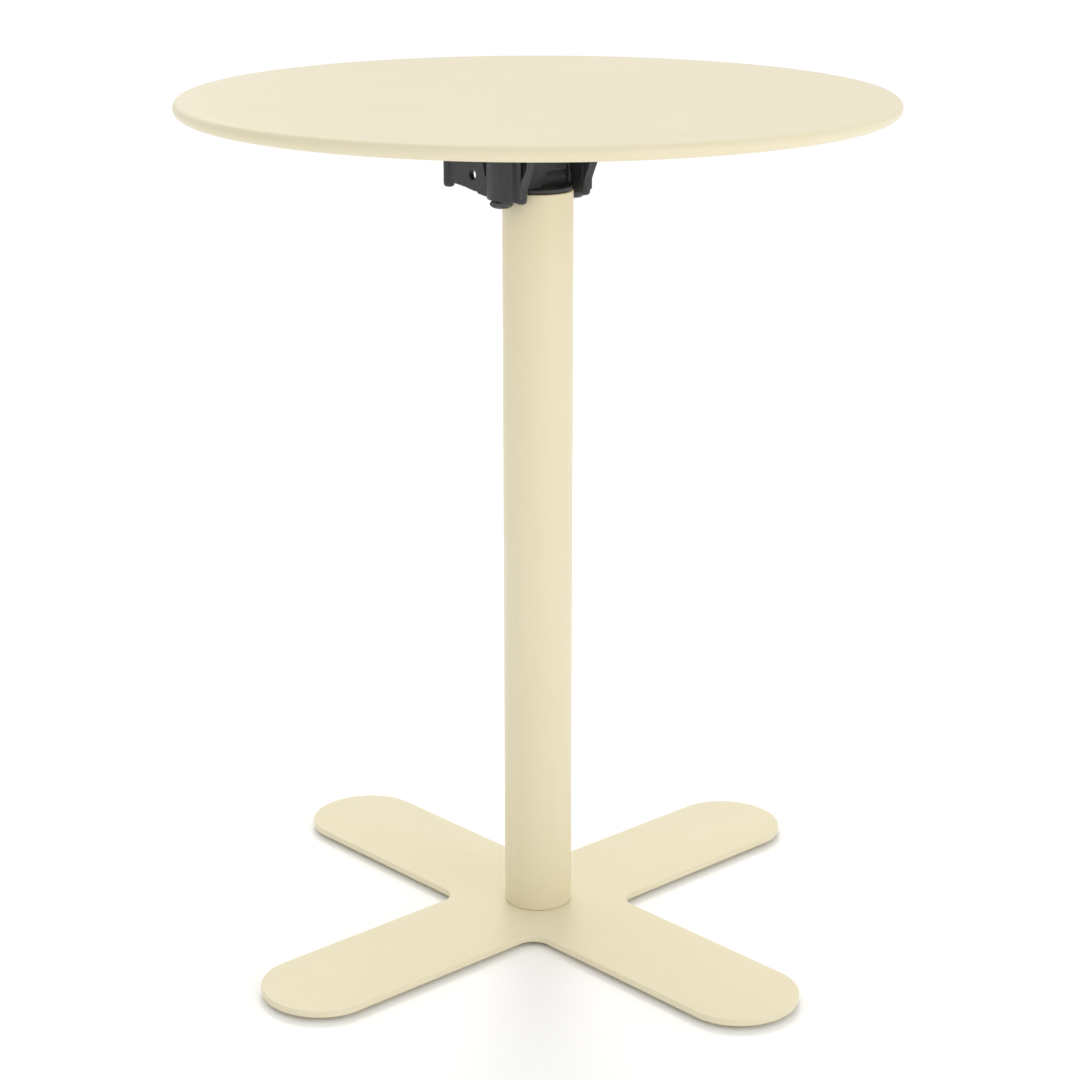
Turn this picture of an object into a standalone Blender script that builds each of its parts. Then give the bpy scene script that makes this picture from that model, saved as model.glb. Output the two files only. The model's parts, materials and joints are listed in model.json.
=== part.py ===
"""Round flip-top bistro table on a central column and a flat cross base.

The column stands on the Z axis and the floor is Z = 0. The top tilts about an axis
along +Y: its +X side goes down and its -X side, where the release lever is, goes up.
"""
import math

import bmesh
import bpy
from mathutils import Matrix, Vector

MM = 0.001
GAP = 0.3 * MM                      # clearance left wherever two pieces touch

TABLE_HEIGHT = 737 * MM
TOP_RADIUS = 300 * MM
SHEET = 1.5 * MM                    # steel sheet of the top
RIM_HEIGHT = 12 * MM                # rolled round edge
RIM_CURL = math.radians(270)        # how far the rim is rolled round

FOOT_RADIUS = 16 * MM
FOOT_THICKNESS = 3 * MM
FOOT_STUD_RADIUS = 3 * MM
FOOT_STUD_LENGTH = 3.5 * MM
FOOT_SPREAD = 262 * MM              # distance of each foot from the column axis

BASE_THICKNESS = 6 * MM
BASE_ARM_REACH = 300 * MM
BASE_ARM_WIDTH = 104 * MM
BASE_ARM_TAPER = 0.1 * MM           # how much nearer the column each arm's edge stands out
BASE_TIP_LENGTH = 49 * MM           # the half ellipse at each arm's end
BASE_NOTCH_RADIUS = 17 * MM
BASE_BOTTOM = FOOT_THICKNESS + GAP
BASE_TOP = BASE_BOTTOM + BASE_THICKNESS

TUBE_RADIUS = 30 * MM
TUBE_WALL = 2 * MM
TUBE_BOTTOM = BASE_TOP + GAP
TUBE_TOP = 658 * MM
TUBE_BORE = TUBE_RADIUS - TUBE_WALL
WELD_DISC_THICKNESS = 10 * MM
BASE_SCREW_CIRCLE = 17 * MM
BASE_SCREW_RADIUS = 3.6 * MM
BASE_SCREW_HEAD_RADIUS = 7.4 * MM
BASE_SCREW_HEAD_DEPTH = 3.8 * MM

PIVOT_HEIGHT = 667 * MM
AXLE_RADIUS = 6 * MM
COLLAR_RADIUS = 28.8 * MM
COLLAR_TOP = PIVOT_HEIGHT - 5 * MM
SPIGOT_LENGTH = 50 * MM
DRUM_RADIUS = 12 * MM               # the lever's brake pad grips it
HUB_RADIUS = 8 * MM
HUB_HALF_WIDTH = 28.2 * MM
HEAD_HALF_WIDTH = 25.6 * MM
HEAD_SLOT_HALF = 14.2 * MM          # room for the lever and its lugs between the cheeks
HEAD_BACK = -22 * MM
HEAD_FRONT = 12.2 * MM
RECESS_FLOOR = 8.2 * MM            # how far forward the floor of the head's front recess is
HEAD_SCREW_HEIGHT = 625 * MM
HEAD_SCREW_RADIUS = 2.7 * MM

RAIL_HEIGHT = 15 * MM
RAIL_SPREAD = 90 * MM
RAIL_LENGTH = 440 * MM
RAIL_BOTTOM = TABLE_HEIGHT - SHEET - GAP - RAIL_HEIGHT
PLATE_THICKNESS = 2.5 * MM
PLATE_TOP = RAIL_BOTTOM - GAP
PLATE_BOTTOM = PLATE_TOP - PLATE_THICKNESS

FLANGE_TOP = PLATE_BOTTOM - GAP
FLANGE_THICKNESS = 5 * MM
FLANGE_BOTTOM = FLANGE_TOP - FLANGE_THICKNESS
FLANGE_BACK = -90 * MM
FLANGE_FRONT = 44 * MM
FLANGE_HALF_WIDTH = 58 * MM
WALL_INSIDE = 32 * MM               # distance of each side wall from the XZ plane
WALL_OUTSIDE = 38 * MM
PILLAR_SPREAD = 36 * MM
PILLAR_RADIUS = 4.8 * MM
PILLAR_BACK = -72 * MM
PILLAR_FRONT = 19 * MM
PILLAR_BACK_BOTTOM = PIVOT_HEIGHT - 11.2 * MM
PILLAR_FRONT_BOTTOM = PIVOT_HEIGHT - 15.4 * MM
BOSS_HALF_WIDTH = 16 * MM
BOSS_EDGE = 43 * MM
BOSS_CROWN = 48.3 * MM
BOSS_BOTTOM = PIVOT_HEIGHT - 14 * MM
SIGHT_HOLE_X = -40 * MM
SIGHT_HOLE_HEIGHT = PIVOT_HEIGHT + 2.8 * MM
SIGHT_HOLE_RADIUS = 4.3 * MM

CLAMP_BOLT_SPREAD = 41 * MM
CLAMP_BOLT_RADIUS = 5 * MM
CLAMP_NUT_RADIUS = 9.8 * MM         # to the hexagon's corners
CLAMP_NUT_HEIGHT = 5.4 * MM
CORNER_SCREW_BACK = -78 * MM
CORNER_SCREW_FRONT = 32 * MM
CORNER_SCREW_SPREAD = 48 * MM

LEVER_PIN_X = -34 * MM
LEVER_PIN_Z = PIVOT_HEIGHT - 2 * MM
LEVER_PIN_RADIUS = 2.5 * MM
LEVER_HALF_WIDTH = 10 * MM
LEVER_HUB_RADIUS = 5.5 * MM
LUG_INSIDE = 10.8 * MM
LUG_OUTSIDE = 13.8 * MM
SPRING_X = -56 * MM
SPRING_RADIUS = 4.2 * MM
SPRING_WIRE = 0.6 * MM
SPRING_TURNS = 4
SPRING_TOP = PIVOT_HEIGHT + 13 * MM
CUP_RADIUS = 8.6 * MM
CUP_BORE = 6.8 * MM                 # wide enough for the spring to swing with the lever
CUP_BOTTOM = PIVOT_HEIGHT + 5 * MM
CUP_BORE_TOP = PIVOT_HEIGHT + 17 * MM

UNDER_FLANGE = FLANGE_BOTTOM - 12 * MM   # cutters for holes through flange and plate run
ABOVE_PLATE = PLATE_TOP + 3 * MM         # from below the one to above the other
UNDER_NUT = PIVOT_HEIGHT - 60 * MM
PLATE_HOLE_RADIUS = 3.1 * MM

PART_COLLECTION = "bistro_table"
CUTTER_COLLECTION = "cutters"

ALONG_X = Matrix(((0, 0, 1, 0), (1, 0, 0, 0), (0, 1, 0, 0), (0, 0, 0, 1)))    # (y, z) outlines
ALONG_Y = Matrix.Rotation(math.pi / 2, 4, "X")                                # (x, z) outlines
ALONG_Z = Matrix.Identity(4)                                                  # (x, y) outlines


# ---------------------------------------------------------------- scene and materials

def clear_scene():
    for obj in list(bpy.data.objects):
        bpy.data.objects.remove(obj, do_unlink=True)


def make_collection(name):
    collection = bpy.data.collections.new(name)
    bpy.context.scene.collection.children.link(collection)
    return collection


def make_material(name, colour, roughness, metallic=0.0):
    material = bpy.data.materials.new(name)
    material.use_nodes = True
    shader = material.node_tree.nodes["Principled BSDF"]
    shader.inputs["Base Color"].default_value = (*colour, 1.0)
    shader.inputs["Roughness"].default_value = roughness
    shader.inputs["Metallic"].default_value = metallic
    return material


def cream_powder_coat():
    return make_material("cream_powder_coat", (0.80, 0.74, 0.54), 0.42)


def charcoal_nylon():
    return make_material("charcoal_nylon", (0.055, 0.055, 0.060), 0.55)


def zinc_steel():
    return make_material("zinc_steel", (0.60, 0.60, 0.58), 0.35, 1.0)


def black_steel():
    return make_material("black_steel", (0.035, 0.035, 0.038), 0.42, 0.6)


def black_rubber():
    return make_material("black_rubber", (0.025, 0.025, 0.025), 0.8)


def black_acetal():
    return make_material("black_acetal", (0.03, 0.03, 0.032), 0.4)


# ---------------------------------------------------------------- shape helpers

def add_object(name, mesh, group, material=None):
    obj = bpy.data.objects.new(name, mesh)
    group.objects.link(obj)
    if material:
        mesh.materials.append(material)
    return obj


def finish_bmesh(name, shape, group, material=None):
    mesh = bpy.data.meshes.new(name)
    shape.to_mesh(mesh)
    shape.free()
    return add_object(name, mesh, group, material)


def box(name, low, high, group, material=None):
    low, high = Vector(low), Vector(high)
    shape = bmesh.new()
    scale = Matrix.Diagonal((*(high - low), 1.0))
    bmesh.ops.create_cube(shape, size=1.0, matrix=Matrix.Translation((low + high) / 2) @ scale)
    return finish_bmesh(name, shape, group, material)


def cylinder(name, start, end, radius, group, material=None, sides=32, end_radius=None):
    start, end = Vector(start), Vector(end)
    turn = (end - start).to_track_quat("Z", "Y").to_matrix().to_4x4()
    shape = bmesh.new()
    bmesh.ops.create_cone(
        shape, cap_ends=True, segments=sides, radius1=radius,
        radius2=radius if end_radius is None else end_radius,
        depth=(end - start).length, matrix=Matrix.Translation((start + end) / 2) @ turn)
    return finish_bmesh(name, shape, group, material)


def turned(name, profile, group, material=None, steps=32, place=ALONG_Z, closed=False):
    """Turn (radius, height) points, which run down the outer side, about the Z axis."""
    shape = bmesh.new()
    points = [shape.verts.new((radius, 0, height)) for radius, height in profile]
    pairs = list(zip(points, points[1:]))
    if closed:
        pairs.append((points[-1], points[0]))
    for first, second in pairs:
        shape.edges.new((first, second))
    obj = finish_bmesh(name, shape, group, material)
    obj.matrix_world = place
    screw = obj.modifiers.new("turn", "SCREW")
    screw.steps = steps
    screw.render_steps = steps
    screw.use_merge_vertices = True
    screw.merge_threshold = 0.00001
    return obj


def extruded(name, outline, low, high, group, material=None, plane=ALONG_Z):
    """Extrude a closed outline from low to high along the axis that plane names."""
    curve = bpy.data.curves.new(name, "CURVE")
    curve.dimensions = "2D"
    curve.fill_mode = "BOTH"
    curve.extrude = (high - low) / 2
    spline = curve.splines.new("POLY")
    spline.points.add(len(outline) - 1)
    for point, (across, up) in zip(spline.points, outline):
        point.co = (across, up, 0, 1)
    spline.use_cyclic_u = True
    middle = (low + high) / 2
    shift = Vector((middle, 0, 0)) if plane is ALONG_X else Vector((0, 0, middle))
    if plane is ALONG_Y:
        shift = Vector((0, middle, 0))
    source = bpy.data.objects.new(name + "_curve", curve)
    source.matrix_world = Matrix.Translation(shift) @ plane
    group.objects.link(source)
    return curve_to_mesh(source, name, group, material)


def curve_to_mesh(source, name, group, material):
    """Replace a curve object by a closed mesh object of the same shape."""
    bpy.context.view_layer.update()
    evaluated = source.evaluated_get(bpy.context.evaluated_depsgraph_get())
    mesh = bpy.data.meshes.new_from_object(evaluated)
    mesh.name = name
    mesh.transform(source.matrix_world)
    shape = bmesh.new()
    shape.from_mesh(mesh)
    bmesh.ops.remove_doubles(shape, verts=shape.verts, dist=0.000001)
    bmesh.ops.dissolve_limit(shape, angle_limit=math.radians(0.1), verts=shape.verts, edges=shape.edges)
    bmesh.ops.recalc_face_normals(shape, faces=shape.faces)
    shape.to_mesh(mesh)
    shape.free()
    mesh.materials.clear()
    bpy.data.objects.remove(source, do_unlink=True)
    return add_object(name, mesh, group, material)


def combine(target, other, operation):
    modifier = target.modifiers.new(other.name, "BOOLEAN")
    modifier.operation = operation
    modifier.solver = "EXACT"
    modifier.object = other
    other.hide_render = True
    other.display_type = "WIRE"


def join(target, *others):
    for other in others:
        combine(target, other, "UNION")


def cut(target, *others):
    for other in others:
        combine(target, other, "DIFFERENCE")


def smooth(obj, angle=35):
    obj.data.shade_smooth()
    obj.data.set_sharp_from_angle(angle=math.radians(angle))
    return obj


def arc(centre, radius, start, end, steps, radius_up=None):
    """Points of an arc in degrees, or of an ellipse where radius_up differs."""
    radius_up = radius if radius_up is None else radius_up
    angles = [math.radians(start + (end - start) * i / steps) for i in range(steps + 1)]
    return [(centre[0] + radius * math.cos(a), centre[1] + radius_up * math.sin(a)) for a in angles]


def rounded_rectangle(low, high, radius, steps=5):
    corners = ((high[0] - radius, high[1] - radius, 0), (low[0] + radius, high[1] - radius, 90),
               (low[0] + radius, low[1] + radius, 180), (high[0] - radius, low[1] + radius, 270))
    points = []
    for x, y, start in corners:
        points += arc((x, y), radius, start, start + 90, steps)
    return points


def above_pivot(outline):
    """Move an outline whose heights are counted from the tilt axis to its real height."""
    return [(x, PIVOT_HEIGHT + z) for x, z in outline]


# ---------------------------------------------------------------- base and feet

def arm_directions():
    return [math.radians(90 * i) for i in range(4)]


def base_outline():
    half = BASE_ARM_WIDTH / 2
    notch = half + BASE_ARM_TAPER + BASE_NOTCH_RADIUS
    quarter = arc((BASE_ARM_REACH - BASE_TIP_LENGTH, 0), BASE_TIP_LENGTH, -90, 90, 18, half)
    quarter += arc((notch, notch), BASE_NOTCH_RADIUS, 270, 180, 5)
    points = []
    for turn in arm_directions():
        sine, cosine = math.sin(turn), math.cos(turn)
        points += [(x * cosine - y * sine, x * sine + y * cosine) for x, y in quarter]
    return points


def base_screw_places():
    spots = [math.radians(45 + 90 * i) for i in range(4)]
    return [(BASE_SCREW_CIRCLE * math.cos(a), BASE_SCREW_CIRCLE * math.sin(a)) for a in spots]


def foot_places():
    return [(FOOT_SPREAD * math.cos(a), FOOT_SPREAD * math.sin(a)) for a in arm_directions()]


def countersunk_profile(head_radius, head_depth, shank_radius, length):
    """A countersunk screw that points up, with its flat head's face at height 0."""
    return [(0, length), (shank_radius * 0.7, length), (shank_radius, length - shank_radius * 0.4),
            (shank_radius, head_depth), (head_radius, 0.3 * MM), (head_radius, 0), (0, 0)]


def make_base_plate(parts, cutters, cream):
    plate = extruded("base_plate", base_outline(), BASE_BOTTOM, BASE_TOP, parts, cream)
    for i, (x, y) in enumerate(base_screw_places()):
        sink = countersunk_profile(BASE_SCREW_HEAD_RADIUS + 1.2 * MM, BASE_SCREW_HEAD_DEPTH + 1.2 * MM,
                                   BASE_SCREW_RADIUS + GAP, 20 * MM)
        place = Matrix.Translation((x, y, BASE_BOTTOM - 0.6 * MM))
        cut(plate, turned(f"cut_base_screw_{i}", sink, cutters, steps=16, place=place))
    for i, (x, y) in enumerate(foot_places()):
        top = BASE_BOTTOM + FOOT_STUD_LENGTH + GAP
        cut(plate, cylinder(f"cut_foot_{i}", (x, y, 0), (x, y, top), FOOT_STUD_RADIUS + GAP,
                            cutters, sides=16))


def make_base_screws(parts, steel):
    profile = countersunk_profile(BASE_SCREW_HEAD_RADIUS, BASE_SCREW_HEAD_DEPTH, BASE_SCREW_RADIUS, 13.5 * MM)
    for i, (x, y) in enumerate(base_screw_places()):
        place = Matrix.Translation((x, y, BASE_BOTTOM + 0.2 * MM))
        smooth(turned(f"base_screw_{i + 1}", profile, parts, steel, steps=16, place=place))


def make_foot_pads(parts, rubber):
    chamfer = 0.8 * MM
    profile = [(0, FOOT_THICKNESS + FOOT_STUD_LENGTH), (FOOT_STUD_RADIUS, FOOT_THICKNESS + FOOT_STUD_LENGTH),
               (FOOT_STUD_RADIUS, FOOT_THICKNESS), (FOOT_RADIUS, FOOT_THICKNESS),
               (FOOT_RADIUS, chamfer), (FOOT_RADIUS - chamfer, 0), (0, 0)]
    for i, (x, y) in enumerate(foot_places()):
        place = Matrix.Translation((x, y, 0))
        smooth(turned(f"foot_pad_{i + 1}", profile, parts, rubber, steps=20, place=place))


# ---------------------------------------------------------------- column

def make_column_tube(parts, cutters, cream):
    edge = 0.5 * MM
    profile = [(TUBE_BORE, TUBE_TOP), (TUBE_RADIUS - edge, TUBE_TOP), (TUBE_RADIUS, TUBE_TOP - edge),
               (TUBE_RADIUS, TUBE_BOTTOM), (TUBE_BORE, TUBE_BOTTOM)]
    tube = turned("column_tube", profile, parts, cream, steps=48, closed=True)
    for i, side in enumerate(head_screw_sides()):
        cut(tube, cylinder(f"cut_tube_screw_{i}", along(side, 20 * MM), along(side, 40 * MM),
                           HEAD_SCREW_RADIUS + GAP, cutters, sides=16))
    smooth(tube)


def make_weld_disc(parts, cutters, steel):
    top = TUBE_BOTTOM + WELD_DISC_THICKNESS
    disc = cylinder("column_foot_disc", (0, 0, TUBE_BOTTOM), (0, 0, top), TUBE_BORE - 0.4 * MM,
                    parts, steel, sides=40)
    for i, (x, y) in enumerate(base_screw_places()):
        cut(disc, cylinder(f"cut_disc_screw_{i}", (x, y, 0), (x, y, top + 5 * MM),
                           BASE_SCREW_RADIUS + GAP, cutters, sides=20))


def head_screw_sides():
    """The two screws that hold the head in the tube are on its -X and +Y sides."""
    return [Vector((-1, 0, 0)), Vector((0, 1, 0))]


def along(side, distance):
    return side * distance + Vector((0, 0, HEAD_SCREW_HEIGHT))


def make_head_screws(parts, steel):
    head, length = 5 * MM, 14 * MM
    start = TUBE_RADIUS + 2.8 * MM
    profile = [(0, start), (head * 0.62, start - 0.2 * MM), (head * 0.92, start - 1.2 * MM),
               (head, TUBE_RADIUS + GAP), (HEAD_SCREW_RADIUS, TUBE_RADIUS + GAP),
               (HEAD_SCREW_RADIUS, start - length), (0, start - length)]
    for i, side in enumerate(head_screw_sides()):
        turn = side.to_track_quat("Z", "Y").to_matrix().to_4x4()
        place = Matrix.Translation((0, 0, HEAD_SCREW_HEIGHT)) @ turn
        smooth(turned(f"head_screw_{i + 1}", profile, parts, steel, steps=16, place=place))


def head_side_outline():
    """The head's side view: the front leans back above so that the flange clears it."""
    bottom, shoulder, top = -7 * MM, 26 * MM, 44.3 * MM
    return above_pivot([(HEAD_BACK, bottom), (HEAD_FRONT, bottom), (HEAD_FRONT, shoulder), (-2 * MM, top),
                        (HEAD_BACK, top)])


def front_recess_outline():
    """(y, z) outline of the recess in the head's front, with its S-shaped inner edge."""
    side = HEAD_HALF_WIDTH - 1.4 * MM
    points = [(side, -4.6 * MM), (-7.8 * MM, -4.6 * MM)]
    points += arc((-3.8 * MM, 2.2 * MM), 4.2 * MM, 180, 100, 4)
    points += arc((-0.6 * MM, 9.6 * MM), 2.8 * MM, -70, 10, 4)
    points += [(0.7 * MM, 15.4 * MM), (0.7 * MM, 60 * MM), (side, 60 * MM)]
    return above_pivot(points)


def barrel_window_outline():
    """(y, z) outline of the window, round at one end, in which the pivot barrel shows."""
    side = HEAD_HALF_WIDTH - 1.9 * MM
    round_end = arc((7.2 * MM, 1.1 * MM), 5.4 * MM, 270, 90, 10)
    return above_pivot([(side, -4.3 * MM)] + round_end + [(side, 6.5 * MM)])


def make_column_head(parts, cutters, nylon):
    head = cylinder("column_head", (0, 0, TUBE_TOP - SPIGOT_LENGTH), (0, 0, TUBE_TOP + 2 * MM),
                    TUBE_BORE - 0.4 * MM, parts, nylon, 48)
    collar = turned("join_collar", [(0, COLLAR_TOP), (COLLAR_RADIUS - 0.6 * MM, COLLAR_TOP),
                                    (COLLAR_RADIUS, COLLAR_TOP - 0.6 * MM),
                                    (COLLAR_RADIUS, TUBE_TOP + 1.1 * MM),
                                    (COLLAR_RADIUS - 0.8 * MM, TUBE_TOP + GAP), (0, TUBE_TOP + GAP)],
                    cutters, steps=48)
    block = extruded("join_head_block", head_side_outline(), -HEAD_HALF_WIDTH, HEAD_HALF_WIDTH,
                     cutters, plane=ALONG_Y)
    slot_low = (HEAD_BACK - 20 * MM, -HEAD_SLOT_HALF, PIVOT_HEIGHT - 10 * MM)
    slot = box("cut_lever_slot", slot_low, (1.5 * MM, HEAD_SLOT_HALF, PIVOT_HEIGHT + 60 * MM), cutters)
    web_top = box("cut_web_top", (0, -HEAD_SLOT_HALF, PIVOT_HEIGHT + 26 * MM),
                  (20 * MM, HEAD_SLOT_HALF, PIVOT_HEIGHT + 60 * MM), cutters)
    join(head, collar, block)
    cut(head, slot, web_top)
    join(head, cylinder("join_drum", pivot_point(-HEAD_SLOT_HALF - MM), pivot_point(HEAD_SLOT_HALF + MM),
                        DRUM_RADIUS, cutters, sides=40))
    cut(head, extruded("cut_front_recess", front_recess_outline(), RECESS_FLOOR, 20 * MM,
                       cutters, plane=ALONG_X))
    cut(head, extruded("cut_barrel_window", barrel_window_outline(), 3 * MM, 20.5 * MM,
                       cutters, plane=ALONG_X))
    join(head, cylinder("join_hub", pivot_point(-HUB_HALF_WIDTH), pivot_point(HUB_HALF_WIDTH),
                        HUB_RADIUS, cutters, sides=32))
    cut(head, cylinder("cut_head_bore", pivot_point(-40 * MM), pivot_point(40 * MM), AXLE_RADIUS + GAP,
                       cutters))
    for i, side in enumerate(head_screw_sides()):
        cut(head, cylinder(f"cut_head_screw_{i}", along(side, 15 * MM), along(side, 40 * MM),
                           HEAD_SCREW_RADIUS + GAP, cutters, sides=16))


def pivot_point(y):
    return (0, y, PIVOT_HEIGHT)


# ---------------------------------------------------------------- tabletop

def make_tabletop(parts, cream):
    """A sheet disc whose edge is rolled down and under into an open round bead."""
    bead = RIM_HEIGHT / 2
    centre = (TOP_RADIUS - bead, TABLE_HEIGHT - bead)
    end = 90 - math.degrees(RIM_CURL)
    profile = [(0, TABLE_HEIGHT)]
    profile += arc(centre, bead, 90, end, 9)
    profile += arc(centre, bead - SHEET, end, 90, 9)
    profile += [(0, TABLE_HEIGHT - SHEET)]
    smooth(turned("tabletop", profile, parts, cream, steps=72))


def hat_section(y):
    """(y, z) outline of a hat-shaped rail, with its flanges up against the sheet."""
    web, flange, wall = 12 * MM, 24 * MM, 1.5 * MM
    top, bottom = RAIL_BOTTOM + RAIL_HEIGHT, RAIL_BOTTOM
    right = [(web, bottom), (web, top - wall), (flange, top - wall), (flange, top),
             (web - wall, top), (web - wall, bottom + wall)]
    left = [(-across, up) for across, up in reversed(right)]
    return [(y + across, up) for across, up in right + left]


def make_rails(parts, cream):
    for name, y in (("top_rail_left", -RAIL_SPREAD), ("top_rail_right", RAIL_SPREAD)):
        extruded(name, hat_section(y), -RAIL_LENGTH / 2, RAIL_LENGTH / 2, parts, cream, ALONG_X)


def corner_screw_places():
    sides = (-CORNER_SCREW_SPREAD, CORNER_SCREW_SPREAD)
    return [(x, y) for x in (CORNER_SCREW_BACK, CORNER_SCREW_FRONT) for y in sides]


def clamp_bolt_places():
    return [(0, -CLAMP_BOLT_SPREAD), (0, CLAMP_BOLT_SPREAD)]


def make_mounting_plate(parts, cutters, cream):
    outline = rounded_rectangle((-110 * MM, -106 * MM), (64 * MM, 106 * MM), 12 * MM)
    plate = extruded("top_mounting_plate", outline, PLATE_BOTTOM, PLATE_TOP, parts, cream)
    for i, (x, y) in enumerate(corner_screw_places()):
        cut(plate, cylinder(f"cut_plate_corner_{i}", (x, y, UNDER_FLANGE), (x, y, ABOVE_PLATE),
                            PLATE_HOLE_RADIUS, cutters, sides=16))
    for i, (x, y) in enumerate(clamp_bolt_places()):
        cut(plate, cylinder(f"cut_plate_bolt_{i}", (x, y, UNDER_FLANGE), (x, y, ABOVE_PLATE),
                            CLAMP_BOLT_RADIUS + GAP, cutters, sides=24))


# ---------------------------------------------------------------- tilt bracket

def wall_outline():
    """(x, z) outline of a side wall; its bottom edge drops towards the boss."""
    top = FLANGE_BOTTOM - PIVOT_HEIGHT + MM
    bottom = [(PILLAR_BACK, -7.2 * MM), (-60 * MM, -7.4 * MM), (-50 * MM, -8.5 * MM),
              (-41 * MM, -10.3 * MM), (-36.5 * MM, -10.9 * MM), (-35 * MM, -10.2 * MM),
              (-33.5 * MM, -12.2 * MM), (-24 * MM, -13.6 * MM), (PILLAR_FRONT, -14 * MM)]
    front = [(22 * MM, -12 * MM), (23.5 * MM, -1 * MM), (30.5 * MM, 15 * MM), (37 * MM, top)]
    return above_pivot(bottom + front + [(PILLAR_BACK - 5 * MM, top), (PILLAR_BACK - 3.6 * MM, -5 * MM)])


def end_rib_outline():
    """(x, z) outline of the flared rib that runs up from each front pillar."""
    top = FLANGE_BOTTOM - PIVOT_HEIGHT + MM
    return above_pivot([(14.6 * MM, -10 * MM), (23.6 * MM, -10 * MM), (23.8 * MM, -1 * MM),
                        (31 * MM, 15 * MM), (38 * MM, top), (35.5 * MM, top), (29.6 * MM, 15 * MM)])


def pocket_outlines():
    """(x, z) outlines of the tapered pockets on either side of the boss."""
    return [above_pivot([(-22.6 * MM, -2 * MM), (-22.6 * MM, 40 * MM), (-32 * MM, 40 * MM)]),
            above_pivot([(20.4 * MM, -1 * MM), (29 * MM, 17 * MM), (32 * MM, 40 * MM), (20.4 * MM, 40 * MM)])]


def boss_outline(side):
    """(x, y) outline of the bulging boss on the outside of a wall."""
    rise = BOSS_CROWN - BOSS_EDGE
    radius = (BOSS_HALF_WIDTH ** 2 + rise ** 2) / (2 * rise)
    spread = math.degrees(math.asin(BOSS_HALF_WIDTH / radius))
    front = arc((0, BOSS_CROWN - radius), radius, 90 + spread, 90 - spread, 10)
    root = WALL_OUTSIDE - MM
    return [(x, side * y) for x, y in front + [(BOSS_HALF_WIDTH, root), (-BOSS_HALF_WIDTH, root)]]


def lug_outline():
    """(x, z) outline of the two lugs that hold the lever's pin."""
    top = FLANGE_BOTTOM + MM
    round_end = arc((LEVER_PIN_X, LEVER_PIN_Z), 6 * MM, 180, 360, 10)
    return round_end + [(LEVER_PIN_X + 9 * MM, top), (LEVER_PIN_X - 12 * MM, top)]


def between(side, near, far):
    """The lower and upper Y of a slab that lies near to far out on one side."""
    return (near, far) if side > 0 else (-far, -near)


def side_pieces(side, cutters):
    """What makes up one side of the bracket: wall, boss, end rib, lug and pillars."""
    tag = "plus" if side > 0 else "minus"
    wall = between(side, WALL_INSIDE, WALL_OUTSIDE)
    rib = between(side, 37 * MM, 40.6 * MM)
    lug = between(side, LUG_INSIDE, LUG_OUTSIDE)
    pieces = [
        extruded(f"join_wall_{tag}", wall_outline(), *wall, cutters, plane=ALONG_Y),
        extruded(f"join_boss_{tag}", boss_outline(side), BOSS_BOTTOM, FLANGE_BOTTOM + MM, cutters),
        extruded(f"join_rib_{tag}", end_rib_outline(), *rib, cutters, plane=ALONG_Y),
        extruded(f"join_lug_{tag}", lug_outline(), *lug, cutters, plane=ALONG_Y),
    ]
    pillars = [("back", PILLAR_BACK, PILLAR_BACK_BOTTOM), ("front", PILLAR_FRONT, PILLAR_FRONT_BOTTOM)]
    r = PILLAR_RADIUS
    for name, x, z in pillars:
        profile = [(0, FLANGE_BOTTOM + MM), (r, FLANGE_BOTTOM + MM), (r, z + 0.55 * r),
                   (0.87 * r, z + 0.22 * r), (0.5 * r, z + 0.04 * r), (0, z)]
        place = Matrix.Translation((x, side * PILLAR_SPREAD, 0))
        pieces.append(turned(f"join_pillar_{name}_{tag}", profile, cutters, steps=16, place=place))
    return pieces


def make_tilt_bracket(parts, cutters, nylon):
    flange = rounded_rectangle((FLANGE_BACK, -FLANGE_HALF_WIDTH), (FLANGE_FRONT, FLANGE_HALF_WIDTH), 12 * MM)
    bracket = extruded("tilt_bracket", flange, FLANGE_BOTTOM, FLANGE_TOP, parts, nylon)
    for side in (-1, 1):
        join(bracket, *side_pieces(side, cutters))
    span = WALL_INSIDE + MM
    join(bracket, box("join_back_wall", (PILLAR_BACK - 4 * MM, -span, PIVOT_HEIGHT + 24 * MM),
                      (PILLAR_BACK, span, FLANGE_BOTTOM + MM), cutters))
    join(bracket, box("join_stop_rib", (25 * MM, -span, PIVOT_HEIGHT + 31.4 * MM),
                      (29 * MM, span, FLANGE_BOTTOM + MM), cutters))
    join(bracket, cylinder("join_spring_cup", (SPRING_X, 0, CUP_BOTTOM), (SPRING_X, 0, FLANGE_BOTTOM + MM),
                           CUP_RADIUS, cutters, sides=24))
    cut_bracket(bracket, cutters)


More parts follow.
